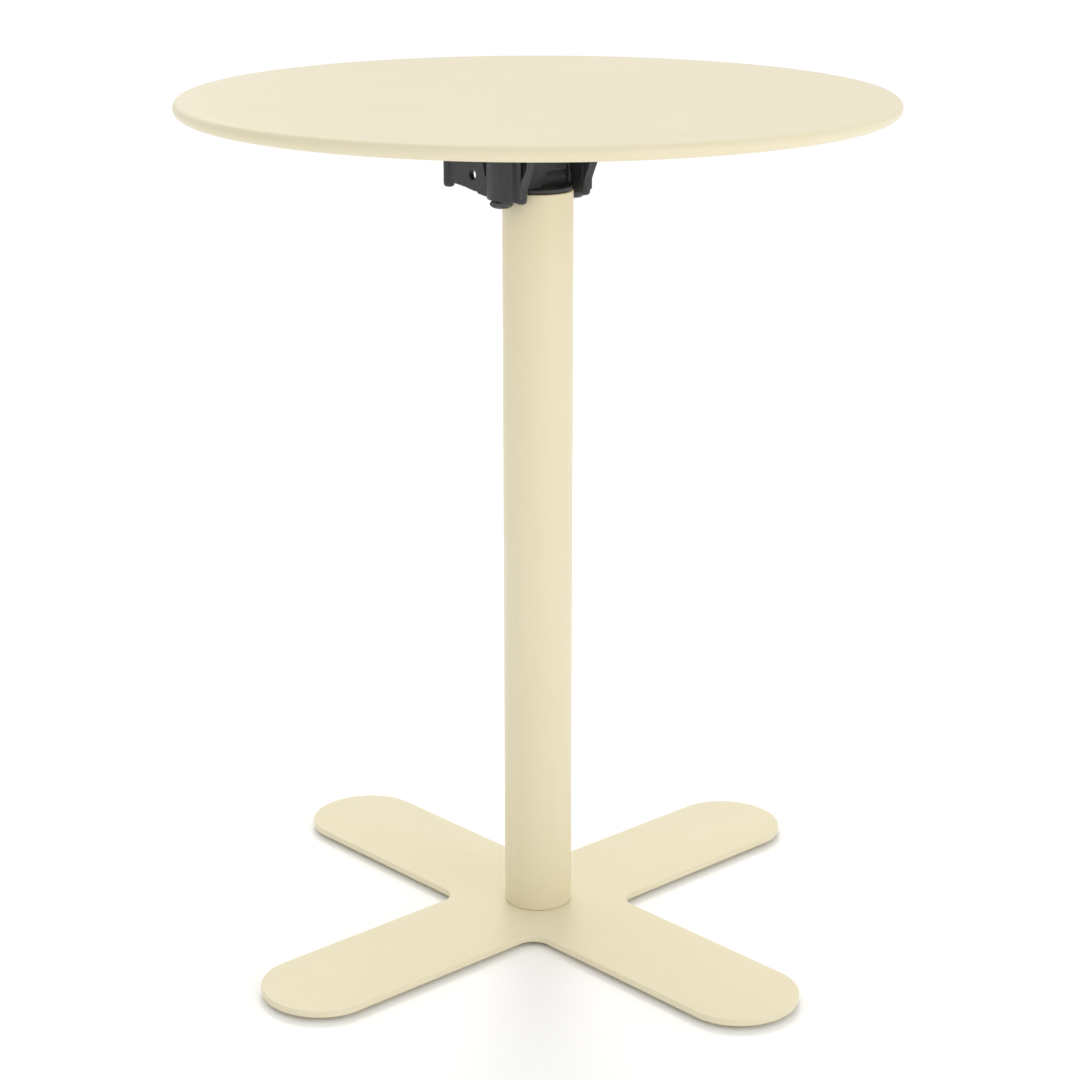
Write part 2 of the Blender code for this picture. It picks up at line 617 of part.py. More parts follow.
def cut_bracket(bracket, cutters):
    for i, outline in enumerate(pocket_outlines()):
        for side in (-1, 1):
            low, high = between(side, 35 * MM, 39 * MM)
            cut(bracket, extruded(f"cut_pocket_{i}_{side + 1}", outline, low, high, cutters, plane=ALONG_Y))
    for i, (x, y) in enumerate(corner_screw_places()):
        cut(bracket, cylinder(f"cut_flange_corner_{i}", (x, y, UNDER_FLANGE), (x, y, ABOVE_PLATE),
                              PLATE_HOLE_RADIUS, cutters, sides=16))
    for i, (x, y) in enumerate(clamp_bolt_places()):
        cut(bracket, cylinder(f"cut_boss_bolt_{i}", (x, y, UNDER_NUT), (x, y, ABOVE_PLATE),
                              CLAMP_BOLT_RADIUS + GAP, cutters, sides=24))
    cut(bracket, cylinder("cut_axle_bore", pivot_point(-CLAMP_BOLT_SPREAD), pivot_point(60 * MM),
                          AXLE_RADIUS + GAP, cutters, sides=28))
    for side in (-1, 1):
        low, high = between(side, WALL_INSIDE - MM, WALL_OUTSIDE + MM)
        cut(bracket, cylinder(f"cut_sight_hole_{side + 1}", (SIGHT_HOLE_X, low, SIGHT_HOLE_HEIGHT),
                              (SIGHT_HOLE_X, high, SIGHT_HOLE_HEIGHT), SIGHT_HOLE_RADIUS, cutters, sides=28))
    cut(bracket, cylinder("cut_lever_pin", lever_pin_point(-20 * MM), lever_pin_point(20 * MM),
                          LEVER_PIN_RADIUS + GAP, cutters, sides=20))
    cut(bracket, cylinder("cut_spring_cup", (SPRING_X, 0, PIVOT_HEIGHT), (SPRING_X, 0, CUP_BORE_TOP),
                          CUP_BORE, cutters, sides=24))


def lever_pin_point(y):
    return (LEVER_PIN_X, y, LEVER_PIN_Z)


def make_corner_screws(parts, steel):
    head, shank, rise = 6 * MM, 2.8 * MM, 13 * MM
    profile = [(0, rise), (shank * 0.7, rise), (shank, rise - MM), (shank, -GAP), (head, -GAP),
               (head, -2.6 * MM), (head * 0.75, -3.6 * MM), (0, -3.8 * MM)]
    for i, (x, y) in enumerate(corner_screw_places()):
        place = Matrix.Translation((x, y, FLANGE_BOTTOM))
        smooth(turned(f"bracket_screw_{i + 1}", profile, parts, steel, steps=16, place=place))


def hexagon(name, x, y, low, high, group, material=None):
    """A hexagon prism with chamfered corners, a corner pointing along X."""
    chamfer = 1.1 * MM
    profile = [(0, high), (CLAMP_NUT_RADIUS - chamfer, high), (CLAMP_NUT_RADIUS, high - chamfer * 0.6),
               (CLAMP_NUT_RADIUS, low + 2.4 * MM), (CLAMP_NUT_RADIUS - MM, low + MM),
               (CLAMP_NUT_RADIUS - 3 * MM, low), (0, low)]
    return turned(name, profile, group, material, steps=6, place=Matrix.Translation((x, y, 0)))


def make_clamp_bolts(parts, cutters, steel):
    nut_top = BOSS_BOTTOM - GAP
    nut_bottom = nut_top - CLAMP_NUT_HEIGHT
    head_bottom = PLATE_TOP + GAP
    for i, (x, y) in enumerate(clamp_bolt_places()):
        bolt = hexagon(f"clamp_bolt_{i + 1}", x, y, head_bottom, head_bottom + 6.4 * MM, parts, steel)
        join(bolt, cylinder(f"join_bolt_shank_{i}", (x, y, nut_bottom + 0.6 * MM), (x, y, head_bottom + MM),
                            CLAMP_BOLT_RADIUS, cutters, sides=24))
        nut = hexagon(f"clamp_nut_{i + 1}", x, y, nut_bottom, nut_top, parts, steel)
        cut(nut, cylinder(f"cut_nut_{i}", (x, y, nut_bottom - 5 * MM), (x, y, nut_top + 5 * MM),
                          CLAMP_BOLT_RADIUS + GAP, cutters, sides=24))


def make_pivot(parts, steel, acetal):
    half = CLAMP_BOLT_SPREAD - CLAMP_BOLT_RADIUS - 0.6 * MM
    edge = 0.8 * MM
    profile = [(0, half), (AXLE_RADIUS - edge, half), (AXLE_RADIUS, half - edge),
               (AXLE_RADIUS, edge - half), (AXLE_RADIUS - edge, -half), (0, -half)]
    place = Matrix.Translation((0, 0, PIVOT_HEIGHT)) @ ALONG_Y
    smooth(turned("pivot_axle", profile, parts, steel, steps=20, place=place))
    low, high = COLLAR_RADIUS + GAP, WALL_INSIDE - GAP
    ring = [(AXLE_RADIUS + GAP, high), (HUB_RADIUS, high), (HUB_RADIUS, low), (AXLE_RADIUS + GAP, low)]
    for name, turn in (("pivot_washer_left", 1), ("pivot_washer_right", -1)):
        place = Matrix.Translation((0, 0, PIVOT_HEIGHT)) @ Matrix.Rotation(turn * math.pi / 2, 4, "X")
        smooth(turned(name, ring, parts, acetal, steps=20, place=place, closed=True))


# ---------------------------------------------------------------- release lever

def lever_outline():
    """(x, z) outline of the lever: pad seat, pivot hub, arm and a finger tip that dips."""
    hub = (LEVER_PIN_X, LEVER_PIN_Z - PIVOT_HEIGHT)
    under = [(-15.8 * MM, -4.2 * MM), (-27 * MM, -5.0 * MM)]
    tip_under = [(-52 * MM, -5.2 * MM), (-60 * MM, -7.4 * MM), (-67 * MM, -11.4 * MM)]
    tip_over = arc((-67.2 * MM, -9.7 * MM), 1.7 * MM, 250, 110, 4)
    over = [(-59.5 * MM, -3.4 * MM), (-52 * MM, -1.6 * MM)]
    points = under + arc(hub, LEVER_HUB_RADIUS, -40, -140, 6) + tip_under + tip_over + over
    points += arc(hub, LEVER_HUB_RADIUS, 165, 40, 6) + [(-26 * MM, 0.8 * MM), (-15.8 * MM, 0.8 * MM)]
    return above_pivot(points)


def make_release_lever(parts, cutters, nylon, rubber):
    lever = extruded("release_lever", lever_outline(), -LEVER_HALF_WIDTH, LEVER_HALF_WIDTH,
                     parts, nylon, ALONG_Y)
    cut(lever, cylinder("cut_lever_bore", lever_pin_point(-20 * MM), lever_pin_point(20 * MM),
                        LEVER_PIN_RADIUS + GAP, cutters, sides=20))
    reach = DRUM_RADIUS + GAP
    outline = arc((0, 0), reach, 194, 178, 4) + [(-15.5 * MM, 0.6 * MM), (-15.5 * MM, -4.0 * MM)]
    extruded("brake_pad", above_pivot(outline), -8 * MM, 8 * MM, parts, rubber, ALONG_Y)


def make_lever_pin(parts, steel):
    half, edge = LUG_OUTSIDE + 0.3 * MM, 0.5 * MM
    profile = [(0, half), (LEVER_PIN_RADIUS - edge, half), (LEVER_PIN_RADIUS, half - edge),
               (LEVER_PIN_RADIUS, edge - half), (LEVER_PIN_RADIUS - edge, -half), (0, -half)]
    place = Matrix.Translation((LEVER_PIN_X, 0, LEVER_PIN_Z)) @ ALONG_Y
    smooth(turned("lever_pin", profile, parts, steel, steps=20, place=place))


def make_lever_spring(parts, steel):
    low = PIVOT_HEIGHT - 2.0 * MM + SPRING_WIRE + GAP
    per_turn = 10
    count = SPRING_TURNS * per_turn
    curve = bpy.data.curves.new("lever_spring", "CURVE")
    curve.dimensions = "3D"
    curve.bevel_depth = SPRING_WIRE
    curve.bevel_resolution = 1
    curve.use_fill_caps = True
    spline = curve.splines.new("POLY")
    spline.points.add(count)
    for i, point in enumerate(spline.points):
        turn = 2 * math.pi * i / per_turn
        height = low + (SPRING_TOP - low) * i / count
        point.co = (SPRING_X + SPRING_RADIUS * math.cos(turn), SPRING_RADIUS * math.sin(turn), height, 1)
    source = bpy.data.objects.new("lever_spring_curve", curve)
    parts.objects.link(source)
    smooth(curve_to_mesh(source, "lever_spring", parts, steel))


# ---------------------------------------------------------------- assembly

def build():
    clear_scene()
    parts = make_collection(PART_COLLECTION)
    cutters = make_collection(CUTTER_COLLECTION)
    cream, nylon, zinc = cream_powder_coat(), charcoal_nylon(), zinc_steel()
    black, rubber, acetal = black_steel(), black_rubber(), black_acetal()

    make_base_plate(parts, cutters, cream)
    make_base_screws(parts, zinc)
    make_foot_pads(parts, rubber)
    make_column_tube(parts, cutters, cream)
    make_weld_disc(parts, cutters, zinc)
    make_column_head(parts, cutters, nylon)
    make_head_screws(parts, black)

    make_tabletop(parts, cream)
    make_rails(parts, cream)
    make_mounting_plate(parts, cutters, cream)

    make_tilt_bracket(parts, cutters, nylon)
    make_corner_screws(parts, zinc)
    make_clamp_bolts(parts, cutters, black)
    make_pivot(parts, zinc, acetal)

    make_release_lever(parts, cutters, nylon, rubber)
    make_lever_pin(parts, zinc)
    make_lever_spring(parts, zinc)


build()
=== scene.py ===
"""Looks for the flip-top bistro table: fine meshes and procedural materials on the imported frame."""
import json
import math

import bmesh
import bpy
from mathutils import Matrix, Vector


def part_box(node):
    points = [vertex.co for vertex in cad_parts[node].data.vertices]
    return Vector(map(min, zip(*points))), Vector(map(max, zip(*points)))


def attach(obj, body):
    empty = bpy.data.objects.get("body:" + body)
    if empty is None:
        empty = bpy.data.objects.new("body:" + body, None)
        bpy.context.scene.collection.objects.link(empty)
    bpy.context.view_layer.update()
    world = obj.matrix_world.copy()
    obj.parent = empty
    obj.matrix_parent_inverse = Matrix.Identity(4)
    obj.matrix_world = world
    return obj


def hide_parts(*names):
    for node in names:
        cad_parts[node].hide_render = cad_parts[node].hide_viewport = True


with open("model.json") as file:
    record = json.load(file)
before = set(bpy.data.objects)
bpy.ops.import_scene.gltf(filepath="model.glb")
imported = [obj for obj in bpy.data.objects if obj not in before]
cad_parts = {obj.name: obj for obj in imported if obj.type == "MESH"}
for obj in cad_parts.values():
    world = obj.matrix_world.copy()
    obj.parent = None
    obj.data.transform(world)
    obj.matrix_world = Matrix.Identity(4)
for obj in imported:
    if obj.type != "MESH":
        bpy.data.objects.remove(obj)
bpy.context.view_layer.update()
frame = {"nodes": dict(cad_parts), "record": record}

MM = 0.001                             # all other lengths are in metres

# ---------------------------------------------------------------- sizes, taken from the frame

FLOOR_TO_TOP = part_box("tabletop")[1][2]
TOP_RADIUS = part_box("tabletop")[1][0]
RIM_RADIUS = (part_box("tabletop")[1][2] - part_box("tabletop")[0][2]) / 2
SHEET = 1.5 * MM                       # the top's and the rails' steel

BASE_BOTTOM, BASE_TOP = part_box("base_plate")[0][2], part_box("base_plate")[1][2]
BASE_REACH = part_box("base_plate")[1][0]
BASE_ARM_HALF = 52 * MM
BASE_ARM_TAPER = 0.1 * MM              # an arm's half width grows by this towards the column
BASE_TIP_LENGTH = 49 * MM
BASE_NOTCH_RADIUS = 17 * MM

TUBE_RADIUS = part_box("column_tube")[1][0]
TUBE_BOTTOM, TUBE_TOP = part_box("column_tube")[0][2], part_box("column_tube")[1][2]
TUBE_BORE = TUBE_RADIUS - 2 * MM

FLANGE_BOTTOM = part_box("tilt_bracket")[1][2] - 5 * MM
FOOT_PAD_THICKNESS = 3 * MM
STUD_RADIUS = 3 * MM                   # on the foot pads
CLAMP_BOLT_RADIUS = 5 * MM
CLAMP_BOLT_HEAD = 6.4 * MM             # height
METAL_EDGE = 32                        # degrees; the fasteners' sharper edges are drawn sharp

# radii of holes
STUD_HOLE = 3.3 * MM
BASE_SCREW_HOLE = 3.9 * MM
BASE_SCREW_SINK = 8.6 * MM
HEAD_SCREW_HOLE = 3 * MM
BRACKET_SCREW_HOLE = 3.1 * MM
CLAMP_BOLT_HOLE = 5.3 * MM
AXLE_HOLE = 6.3 * MM

NODES_OF_BODY = frame["record"]["behaviour"]["bodies"]
BODY_OF_NODE = {node: body for body, nodes in NODES_OF_BODY.items() for node in nodes}
SLOT_OF_NODE = {part["node"]: part["material_slot"] for part in frame["record"]["subparts"]}


def middle(node):
    low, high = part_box(node)
    return Vector(((low[0] + high[0]) / 2, (low[1] + high[1]) / 2, (low[2] + high[2]) / 2))


ALONG_X = Matrix(((0, 0, 1, 0), (1, 0, 0, 0), (0, 1, 0, 0), (0, 0, 0, 1)))
ALONG_Y = Matrix.Rotation(math.pi / 2, 4, "X")
ALONG_Z = Matrix.Identity(4)


# ---------------------------------------------------------------- camera, light and floor values

VIEW_TURN = math.radians(47.37)        # from -Y, the front, towards +X
TO_CAMERA = Vector((math.sin(VIEW_TURN), -math.cos(VIEW_TURN), 0))
TO_RIGHT = Vector((math.cos(VIEW_TURN), math.sin(VIEW_TURN), 0))
CAMERA_DISTANCE = 2.067
CAMERA_HEIGHT = 0.992
CAMERA_ASIDE = 0.0018                  # to the right
CAMERA_PITCH = math.radians(17.235)    # downwards
CAMERA_LENS = 82.53

SOFT_BOX_SIZE = 2.0
SOFT_BOX_DISTANCE = 3.4
SOFT_BOX_AIM = Vector((0, 0, 0.45))
WORLD_STRENGTH = 0.805

FLOOR_RADIUS = 40
FLOOR_GREY = 0.965
FLOOR_GAP = 0.5 * MM                   # keeps the floor clear of the foot pads


# ---------------------------------------------------------------- material helpers

class Shader:
    """A Principled material that is built up node by node."""

    def __init__(self, name, colour, roughness, **sockets):
        self.material = bpy.data.materials.new(name)
        self.material.use_nodes = True
        self.tree = self.material.node_tree
        self.surface = self.tree.nodes["Principled BSDF"]
        self.surface.inputs["Base Color"].default_value = (*colour, 1)
        self.surface.inputs["Roughness"].default_value = roughness
        for socket, value in sockets.items():
            self.surface.inputs[socket.replace("_", " ")].default_value = value
        self.place = self.add("ShaderNodeTexCoord").outputs["Object"]

    def add(self, kind, **settings):
        node = self.tree.nodes.new(kind)
        for name, value in settings.items():
            setattr(node, name, value)
        return node

    def link(self, source, target):
        self.tree.links.new(source, target)

    def noise(self, size, detail=2.0, stretch=(1, 1, 1)):
        """Noise from 0 to 1 whose features are about size metres across."""
        scale = self.add("ShaderNodeMapping")
        scale.inputs["Scale"].default_value = [factor / size for factor in stretch]
        self.link(self.place, scale.inputs["Vector"])
        node = self.add("ShaderNodeTexNoise")
        node.inputs["Scale"].default_value = 1.0
        node.inputs["Detail"].default_value = detail
        self.link(scale.outputs["Vector"], node.inputs["Vector"])
        return node.outputs["Fac"]

    def cells(self, size):
        """Distance to the nearest cell point, for grains about size metres across."""
        node = self.add("ShaderNodeTexVoronoi")
        node.inputs["Scale"].default_value = 1.0 / size
        self.link(self.place, node.inputs["Vector"])
        return node.outputs["Distance"]

    def ramp(self, value, low, high, dark=0.0, light=1.0):
        """Remap value so that low..high becomes dark..light, clamped."""
        node = self.add("ShaderNodeMapRange")
        for socket, number in zip(("From Min", "From Max", "To Min", "To Max"), (low, high, dark, light)):
            node.inputs[socket].default_value = number
        self.link(value, node.inputs["Value"])
        return node.outputs["Result"]

    def edges(self):
        """0 on flat areas, where pointiness is 0.5, and 1 on outward edges."""
        geometry = self.add("ShaderNodeNewGeometry")
        return self.ramp(geometry.outputs["Pointiness"], 0.505, 0.56)

    def mix(self, factor, first, second):
        """Mix two colours, which may be sockets, by a factor socket."""
        node = self.add("ShaderNodeMix", data_type="RGBA")
        self.link(factor, node.inputs["Factor"])
        for name, value in (("A", first), ("B", second)):
            socket = [s for s in node.inputs if s.name == name and s.type == "RGBA"][0]
            if isinstance(value, tuple):
                socket.default_value = (*value, 1)
            else:
                self.link(value, socket)
        return [s for s in node.outputs if s.type == "RGBA"][0]

    def combine(self, operation, first, second):
        """Arithmetic on two values, which may be sockets."""
        node = self.add("ShaderNodeMath", operation=operation)
        for socket, value in zip(node.inputs, (first, second)):
            if isinstance(value, (int, float)):
                socket.default_value = value
            else:
                self.link(value, socket)
        return node.outputs[0]

    def bump(self, height, depth, before=None):
        """A bump of depth metres, on top of an earlier bump if one is given."""
        node = self.add("ShaderNodeBump")
        node.inputs["Distance"].default_value = depth
        node.inputs["Strength"].default_value = 1.0
        self.link(height, node.inputs["Height"])
        if before is not None:
            self.link(before, node.inputs["Normal"])
        return node.outputs["Normal"]

    def use(self, colour, roughness, normal):
        for socket, value in (("Base Color", colour), ("Roughness", roughness), ("Normal", normal)):
            self.link(value, self.surface.inputs[socket])
        return self.material


# ---------------------------------------------------------------- materials

def cream_powder_coat():
    """Satin powder coat: orange peel, a finer grain in it, faint cloudiness and thinner, lighter edges."""
    coat = Shader("cream_powder_coat_look", (0.772, 0.698, 0.494), 0.40, Specular_IOR_Level=0.32)
    cloud = coat.noise(0.14, 3)
    speck = coat.noise(0.0011, 2)
    tint = coat.mix(coat.ramp(cloud, 0.3, 0.7), (0.765, 0.691, 0.485), (0.781, 0.708, 0.506))
    tint = coat.mix(coat.ramp(speck, 0.62, 0.78, 0, 0.35), tint, (0.71, 0.63, 0.415))
    tint = coat.mix(coat.combine("MULTIPLY", coat.edges(), 0.35), tint, (0.84, 0.78, 0.60))
    peel = coat.bump(coat.noise(0.0024, 1), 0.00005)
    grain = coat.bump(coat.noise(0.0006, 2), 0.000012, peel)
    rough = coat.ramp(coat.noise(0.03, 4), 0.3, 0.7, 0.33, 0.42)
    return coat.use(tint, rough, grain)


def charcoal_nylon():
    """Moulded glass-filled nylon: spark-eroded grain, faint flow streaks and rubbed edges."""
    nylon = Shader("charcoal_nylon_look", (0.036, 0.037, 0.042), 0.52, Specular_IOR_Level=0.36)
    flow = nylon.noise(0.012, 4, (1, 1, 0.35))
    fleck = nylon.noise(0.0005, 3)
    tint = nylon.mix(nylon.ramp(flow, 0.3, 0.7), (0.031, 0.032, 0.037), (0.042, 0.043, 0.049))
    tint = nylon.mix(nylon.ramp(fleck, 0.6, 0.8, 0, 0.5), tint, (0.066, 0.067, 0.073))
    tint = nylon.mix(nylon.combine("MULTIPLY", nylon.edges(), 0.5), tint, (0.095, 0.097, 0.105))
    grain = nylon.bump(nylon.cells(0.0007), 0.00005)
    waves = nylon.bump(nylon.noise(0.006, 2), 0.00012, grain)
    rough = nylon.ramp(nylon.noise(0.004, 4), 0.3, 0.7, 0.44, 0.58)
    return nylon.use(tint, rough, waves)


def plated_steel(name, dark, light, roughness):
    """Plated steel: crystalline mottling, fine brushed lines and bright edges."""
    steel = Shader(name, light, roughness, Metallic=1.0)
    mottle = steel.noise(0.0035, 4)
    tint = steel.mix(steel.ramp(mottle, 0.3, 0.7), dark, light)
    rubbed = tuple(min(1.0, level * 1.35) for level in light)
    tint = steel.mix(steel.combine("MULTIPLY", steel.edges(), 0.5), tint, rubbed)
    lines = steel.bump(steel.noise(0.0005, 2, (0.15, 1, 1)), 0.000015)
    rough = steel.ramp(steel.noise(0.002, 3), 0.3, 0.7, roughness - 0.07, roughness + 0.09)
    return steel.use(tint, rough, lines)


def zinc_steel():
    return plated_steel("zinc_steel_look", (0.47, 0.47, 0.45), (0.64, 0.64, 0.60), 0.34)


def black_steel():
    """Oiled black oxide: near black, greyer where it is rubbed."""
    steel = Shader("black_steel_look", (0.024, 0.024, 0.026), 0.34, Metallic=0.3)
    mottle = steel.noise(0.004, 4)
    tint = steel.mix(steel.ramp(mottle, 0.35, 0.7), (0.018, 0.018, 0.02), (0.034, 0.034, 0.035))
    tint = steel.mix(steel.combine("MULTIPLY", steel.edges(), 0.6), tint, (0.085, 0.085, 0.088))
    grain = steel.bump(steel.noise(0.0007, 3), 0.00002)
    return steel.use(tint, steel.ramp(steel.noise(0.003, 3), 0.3, 0.7, 0.30, 0.46), grain)


def black_rubber():
    """Matt rubber with a pebbled skin and a dusting that greys it."""
    rubber = Shader("black_rubber_look", (0.025, 0.025, 0.025), 0.8)
    dust = rubber.noise(0.009, 4)
    tint = rubber.mix(rubber.ramp(dust, 0.4, 0.75), (0.022, 0.022, 0.022), (0.05, 0.048, 0.045))
    skin = rubber.bump(rubber.cells(0.0009), 0.00008)
    return rubber.use(tint, rubber.ramp(rubber.noise(0.003, 3), 0.3, 0.7, 0.68, 0.86), skin)


def black_acetal():
    """Machined black acetal: slightly waxy, with fine turning marks."""
    acetal = Shader("black_acetal_look", (0.03, 0.03, 0.032), 0.42)
    cloud = acetal.noise(0.003, 3)
    tint = acetal.mix(acetal.ramp(cloud, 0.3, 0.7), (0.024, 0.024, 0.026), (0.036, 0.036, 0.038))
    marks = acetal.bump(acetal.noise(0.0004, 2), 0.00002)
    return acetal.use(tint, acetal.ramp(acetal.noise(0.002, 2), 0.3, 0.7, 0.36, 0.5), marks)


# ---------------------------------------------------------------- mesh helpers

def link_object(name, data):
    obj = bpy.data.objects.new(name, data)
    bpy.context.scene.collection.objects.link(obj)
    return obj


def from_bmesh(name, shape):
    mesh = bpy.data.meshes.new(name)
    shape.to_mesh(mesh)
    shape.free()
    return link_object(name, mesh)


def renamed(obj, name):
    obj.name = name
    return obj


def placed(obj, place):
    obj.data.transform(place)
    return obj


def upright_at(centre):
    """Moves what is built about the Z axis over to this centre, and leaves its height."""
    return Matrix.Translation((centre.x, centre.y, 0))


def arc(centre, radius, start, end, steps, radius_up=None):
    """Points from start to end degrees on a circle, or on an ellipse if radius_up is given."""
    radius_up = radius if radius_up is None else radius_up
    angles = [math.radians(start + (end - start) * i / steps) for i in range(steps + 1)]
    return [(centre[0] + radius * math.cos(a), centre[1] + radius_up * math.sin(a)) for a in angles]


def rounded_rectangle(low, high, radius):
    corners = ((high[0] - radius, high[1] - radius, 0), (low[0] + radius, high[1] - radius, 90),
               (low[0] + radius, low[1] + radius, 180), (high[0] - radius, low[1] + radius, 270))
    points = []
    for x, y, start in corners:
        points += arc((x, y), radius, start, start + 90, 10)
    return points


def turned(name, profile, steps, place=ALONG_Z, closed=False):
    """Turn (radius, height) points, which run down the outer side, about the Z axis of place."""
    shape = bmesh.new()
    points = [shape.verts.new((radius, 0, height)) for radius, height in profile]
    pairs = list(zip(points, points[1:]))
    if closed:
        pairs.append((points[-1], points[0]))
    for first, second in pairs:
        shape.edges.new((first, second))
    obj = from_bmesh(name, shape)
    screw = obj.modifiers.new("turn", "SCREW")
    screw.steps = screw.render_steps = steps
    screw.use_merge_vertices = True
    screw.merge_threshold = 0.01 * MM
    return settle(obj, place)


def extruded(name, outline, low, high, plane=ALONG_Z):
    """Extrude a closed outline from low to high along Z, or along X with plane ALONG_X."""
    curve = bpy.data.curves.new(name, "CURVE")
    curve.dimensions = "2D"
    curve.fill_mode = "BOTH"
    curve.extrude = (high - low) / 2
    spline = curve.splines.new("POLY")
    spline.points.add(len(outline) - 1)
    for point, (across, up) in zip(spline.points, outline):
        point.co = (across, up, 0, 1)
    spline.use_cyclic_u = True
    along = Vector((1, 0, 0)) if plane is ALONG_X else Vector((0, 0, 1))
    place = Matrix.Translation(along * (low + high) / 2) @ plane
    return weld(settle(link_object(name, curve), place))


def cylinder(name, start, end, radius, sides=48):
    start, end = Vector(start), Vector(end)
    turn = (end - start).to_track_quat("Z", "Y").to_matrix().to_4x4()
    shape = bmesh.new()
    bmesh.ops.create_cone(
        shape, cap_ends=True, segments=sides, radius1=radius, radius2=radius,
        depth=(end - start).length, matrix=Matrix.Translation((start + end) / 2) @ turn)
    return from_bmesh(name, shape)


def settle(obj, place=ALONG_Z):
    """Bake modifiers and place into a plain mesh object of the same name."""
    bpy.context.view_layer.update()
    evaluated = obj.evaluated_get(bpy.context.evaluated_depsgraph_get())
    mesh = bpy.data.meshes.new_from_object(evaluated)
    mesh.transform(place)
    name = obj.name
    bpy.data.objects.remove(obj, do_unlink=True)
    return link_object(name, mesh)


def weld(obj):
    """Merge the double points and the flat faces of a filled curve's mesh."""
    shape = bmesh.new()
    shape.from_mesh(obj.data)
    bmesh.ops.remove_doubles(shape, verts=shape.verts, dist=0.001 * MM)
    bmesh.ops.dissolve_limit(shape, angle_limit=math.radians(0.1), verts=shape.verts, edges=shape.edges)
    bmesh.ops.recalc_face_normals(shape, faces=shape.faces)
    shape.to_mesh(obj.data)
    shape.free()
    return obj


def boolean(target, others, operation):
    """Join, cut or intersect target with the others, which are used up."""
    for other in others:
        modifier = target.modifiers.new("boolean", "BOOLEAN")
        modifier.operation = operation
        modifier.solver = "EXACT"
        modifier.object = other
    result = settle(target)
    for other in others:
        bpy.data.objects.remove(other, do_unlink=True)
    return result


def bevelled(obj, width, segments, angle):
    modifier = obj.modifiers.new("bevel", "BEVEL")
    modifier.width = width
    modifier.segments = segments
    modifier.limit_method = "ANGLE"
    modifier.angle_limit = math.radians(angle)
    return settle(obj)


def moulded(obj, voxel, passes):
    """Turn a hard-edged solid into one with the small even fillets of a moulding."""
    remesh = obj.modifiers.new("remesh", "REMESH")
    remesh.mode = "VOXEL"
    remesh.voxel_size = voxel
    soften = obj.modifiers.new("soften", "SMOOTH")
    soften.factor = 0.5
    soften.iterations = passes
    thin = obj.modifiers.new("thin", "DECIMATE")
    thin.ratio = 0.35
    return settle(obj)


def dressed(obj, material):
    """The object in this one material."""
    obj.data.materials.clear()
    obj.data.materials.append(material)
    return obj


def show(piece, node, material, angle):
    """The piece shows in the CAD node's place, on its body; edges sharper than angle degrees stay sharp."""
    dressed(piece, material)
    piece.data.shade_smooth()
    piece.data.set_sharp_from_angle(angle=math.radians(angle))
    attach(piece, BODY_OF_NODE[node])
    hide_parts(node)


# ---------------------------------------------------------------- base and column

def base_outline():
    """The cross: a tip and the notch beside it, four times round."""
    notch = BASE_ARM_HALF + BASE_ARM_TAPER + BASE_NOTCH_RADIUS
    quarter = arc((BASE_REACH - BASE_TIP_LENGTH, 0), BASE_TIP_LENGTH, -90, 90, 56, BASE_ARM_HALF)
    quarter += arc((notch, notch), BASE_NOTCH_RADIUS, 270, 180, 16)
    points = []
    for turn in range(4):
        cosine, sine = round(math.cos(turn * math.pi / 2)), round(math.sin(turn * math.pi / 2))
        points += [(x * cosine - y * sine, x * sine + y * cosine) for x, y in quarter]
    return points


def make_base_plate(cream):
    plate = extruded("base_cross", base_outline(), BASE_BOTTOM, BASE_TOP)
    plate = bevelled(plate, 0.9 * MM, 3, 60)
    sink = [(0, 20 * MM), (BASE_SCREW_HOLE, 20 * MM), (BASE_SCREW_HOLE, 5 * MM),
            (BASE_SCREW_SINK, 0.3 * MM), (BASE_SCREW_SINK, 0), (0, 0)]
    holes = []
    for i in range(1, 5):
        screw, foot = middle(f"base_screw_{i}"), middle(f"foot_pad_{i}")
        place = Matrix.Translation((screw.x, screw.y, BASE_BOTTOM - 0.6 * MM))
        holes.append(turned("sink", sink, 32, place))
        stud_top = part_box(f"foot_pad_{i}")[1][2] + 0.3 * MM
        holes.append(cylinder("stud_hole", (foot.x, foot.y, 0), (foot.x, foot.y, stud_top), STUD_HOLE, 24))
    plate = boolean(plate, holes, "DIFFERENCE")
    show(plate, "base_plate", cream, 30)


def make_column(cream):
    edge, foot_edge = 0.9 * MM, 0.5 * MM
    profile = [(TUBE_BORE, TUBE_TOP)]
    profile += arc((TUBE_RADIUS - edge, TUBE_TOP - edge), edge, 90, 0, 5)
    profile += arc((TUBE_RADIUS - foot_edge, TUBE_BOTTOM + foot_edge), foot_edge, 0, -90, 3)
    profile += [(TUBE_BORE, TUBE_BOTTOM)]
    tube = turned("column", profile, 160, closed=True)
    holes = []
    for i in (1, 2):
        centre = middle(f"head_screw_{i}")
        side = Vector((centre.x, centre.y, 0)).normalized()
        height = Vector((0, 0, centre.z))
        start, end = side * (TUBE_RADIUS - 10 * MM), side * (TUBE_RADIUS + 10 * MM)
        holes.append(cylinder("hole", start + height, end + height, HEAD_SCREW_HOLE, 32))
    tube = boolean(tube, holes, "DIFFERENCE")
    show(tube, "column_tube", cream, 30)


# ---------------------------------------------------------------- tabletop

